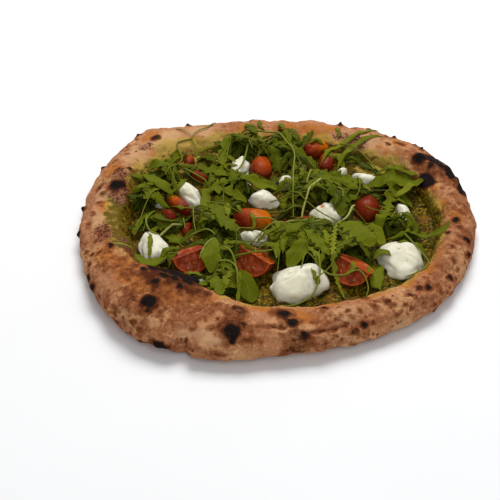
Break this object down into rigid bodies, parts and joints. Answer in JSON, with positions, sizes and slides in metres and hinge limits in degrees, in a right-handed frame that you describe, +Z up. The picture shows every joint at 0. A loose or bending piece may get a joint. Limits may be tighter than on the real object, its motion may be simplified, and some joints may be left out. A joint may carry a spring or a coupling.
{
  "type": "pesto pizza",
  "caption": "Hand-stretched pizza with a puffed charred rim, pesto, cut cherry tomatoes, soft cheese and rocket leaves.",
  "frame": {"origin": "under the middle of the pizza, on the flat underside of the dough, at the middle of its outline's box", "axes": "+Z up through the pizza; +X to the right and +Y away from the eater who sees the pizza as pictured"},
  "size_m": [0.3305, 0.3057, 0.0308],
  "materials": {
    "crust": "matte baked dough, floury, browned and charred in spots",
    "pesto": "oily, coarse green paste",
    "tomato": "smooth moist skin, wet flesh on the cut faces",
    "cheese": "soft moist satin",
    "rocket": "satin leaf with pale stalks and midribs"
  },
  "bodies": {
    "root": {"crust": "crust", "pesto": "pesto", "rocket": "rocket", "tomato_1": "tomato", "tomato_2": "tomato", "tomato_3": "tomato", "tomato_4": "tomato", "tomato_5": "tomato", "tomato_6": "tomato", "tomato_7": "tomato", "tomato_8": "tomato", "tomato_9": "tomato", "tomato_10": "tomato", "tomato_11": "tomato", "tomato_12": "tomato", "tomato_13": "tomato", "tomato_14": "tomato", "tomato_15": "tomato", "cheese_1": "cheese", "cheese_2": "cheese", "cheese_3": "cheese", "cheese_4": "cheese", "cheese_5": "cheese", "cheese_6": "cheese", "cheese_7": "cheese", "cheese_8": "cheese", "cheese_9": "cheese", "cheese_10": "cheese", "cheese_11": "cheese", "cheese_12": "cheese", "cheese_13": "cheese", "cheese_14": "cheese", "cheese_15": "cheese", "cheese_16": "cheese", "cheese_17": "cheese", "cheese_18": "cheese", "cheese_19": "cheese"}
  },
  "joints": []
}
